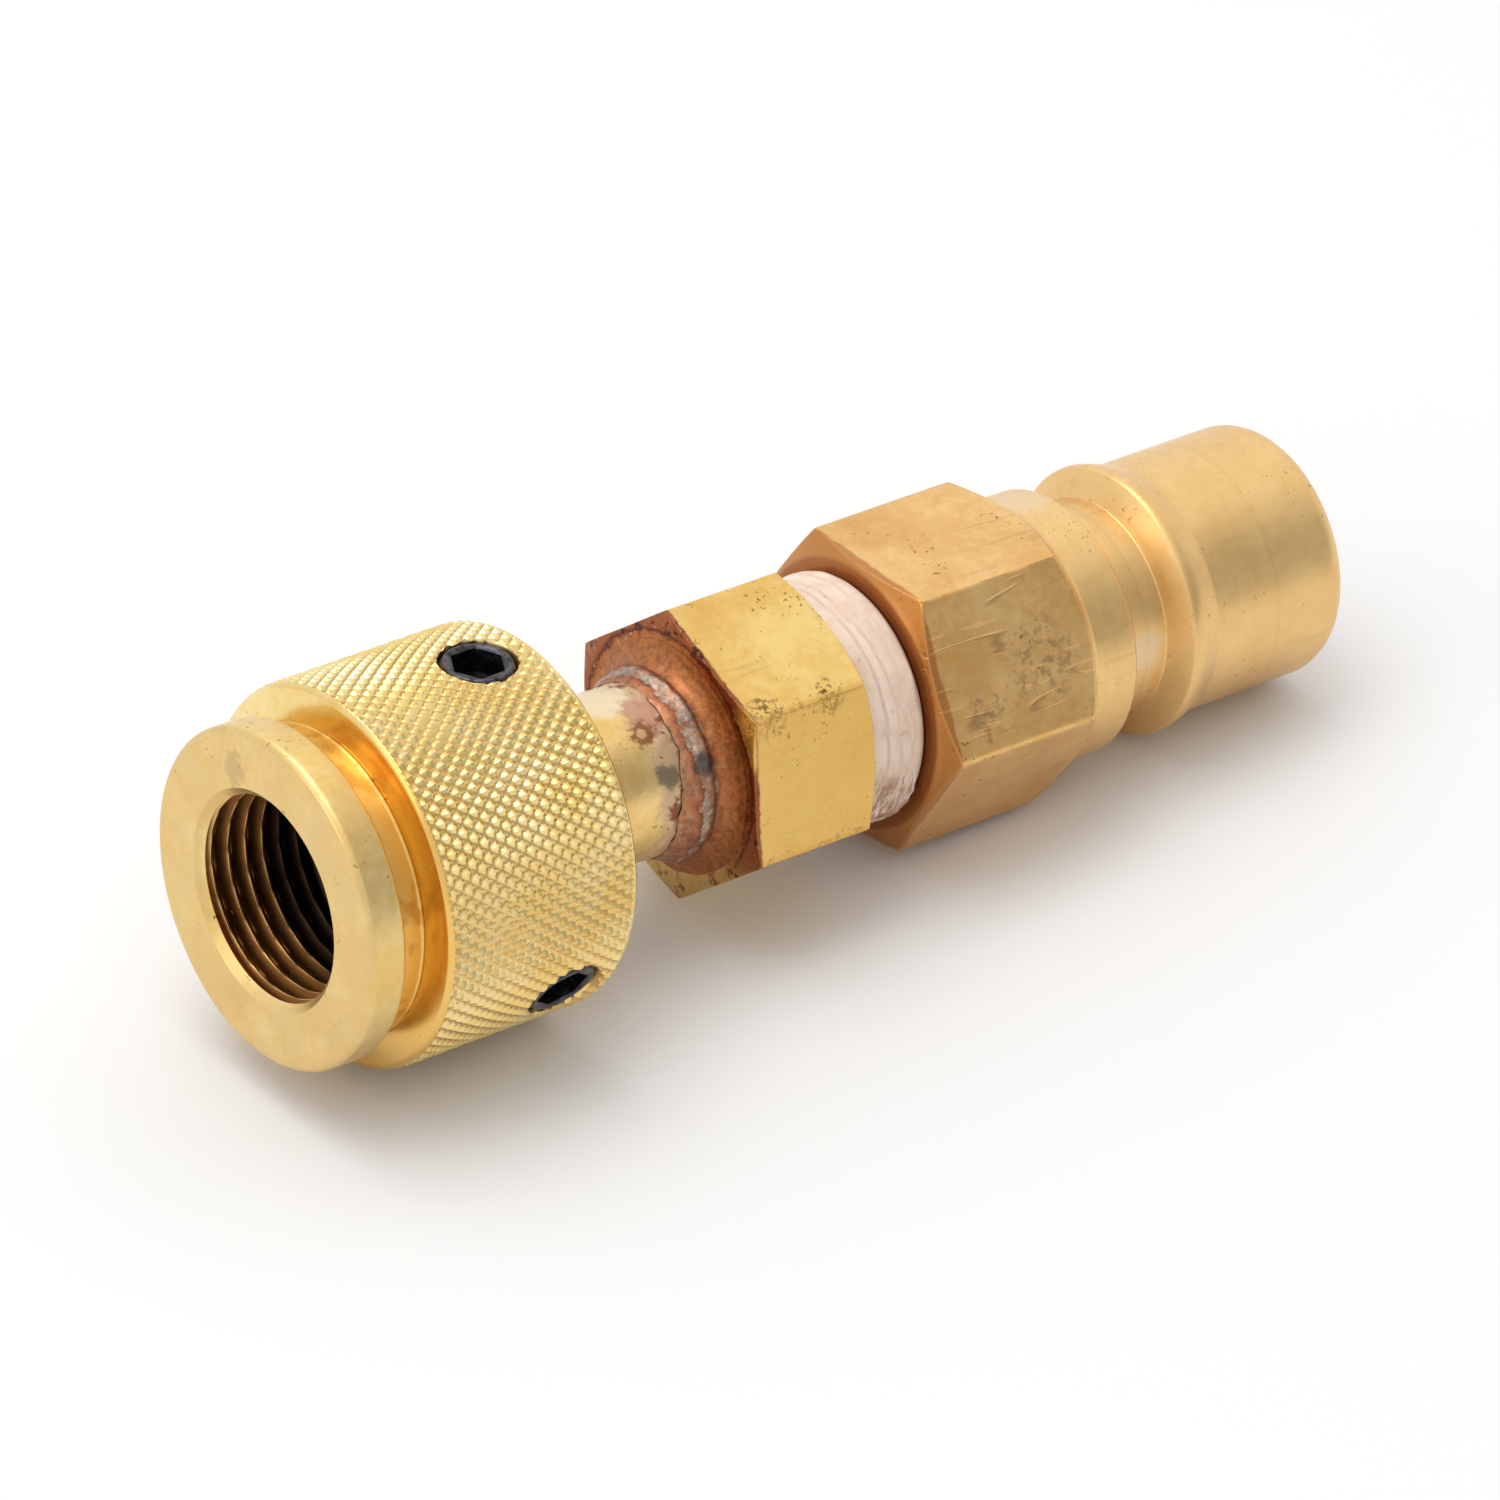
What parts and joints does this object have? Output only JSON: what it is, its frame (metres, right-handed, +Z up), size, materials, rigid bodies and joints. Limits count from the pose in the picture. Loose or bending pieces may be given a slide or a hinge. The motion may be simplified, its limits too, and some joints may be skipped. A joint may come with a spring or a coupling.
{
  "type": "quick disconnect coupler",
  "caption": "Brass quick disconnect coupler with a knurled swivel nut, a brazed stem, a taped hex adaptor and a ball-lock plug with a sprung shut-off valve.",
  "frame": {"origin": "centre of the swivel nut's mouth face, on the coupler's axis", "axes": "+X along the coupler's axis towards the tip of the plug nose; +Z up through the first set screw, with the plug hex lying flat side down; -Y towards the viewer's near side"},
  "size_m": [0.113, 0.035, 0.035],
  "materials": {
    "nut_brass": "fine turned satin",
    "sleeve_brass": "diamond knurl, worn bright on the crests",
    "black_oxide": "black oxide",
    "washer_polymer": "matt",
    "stem_brass": "polished with flux stains near the braze",
    "seal_rubber": "matt black",
    "braze_alloy": "lumpy, grey to copper",
    "adaptor_brass": "bar stock flats, copper-red heat tint at the brazed end",
    "sealing_tape": "wound fluoropolymer tape",
    "plug_brass": "turned and milled, light handling marks",
    "valve_brass": "turned",
    "spring_steel": "bright drawn wire"
  },
  "bodies": {
    "line": {"swivel_stem": "stem_brass", "face_seal": "seal_rubber", "braze_fillet": "braze_alloy", "hex_adaptor": "adaptor_brass", "thread_tape": "sealing_tape", "plug_body": "plug_brass", "valve_guide": "valve_brass", "retaining_ring": "spring_steel", "valve_spring": "spring_steel"},
    "slip_washer": {"thrust_washer": "washer_polymer"},
    "head": {"swivel_nut": "nut_brass", "knurled_sleeve": "sleeve_brass", "set_screw_1": "black_oxide", "set_screw_2": "black_oxide", "set_screw_3": "black_oxide"},
    "valve": {"valve_poppet": "valve_brass", "poppet_seal_ring": "seal_rubber"}
  },
  "joints": [
    {"name": "head_slide", "type": "slide", "parent": "line", "child": "slip_washer", "axis": [1, 0, 0], "range_m": [0, 0.012]},
    {"name": "head_spin", "type": "hinge", "parent": "slip_washer", "child": "head", "pos_m": [0.02, 0, 0], "axis": [1, 0, 0], "continuous": true},
    {"name": "valve_slide", "type": "slide", "parent": "line", "child": "valve", "axis": [-1, 0, 0], "range_m": [0, 0.0055], "stiffness_N_per_m": 1500, "springref_m": -0.006, "deforming": ["valve_spring"]}
  ]
}
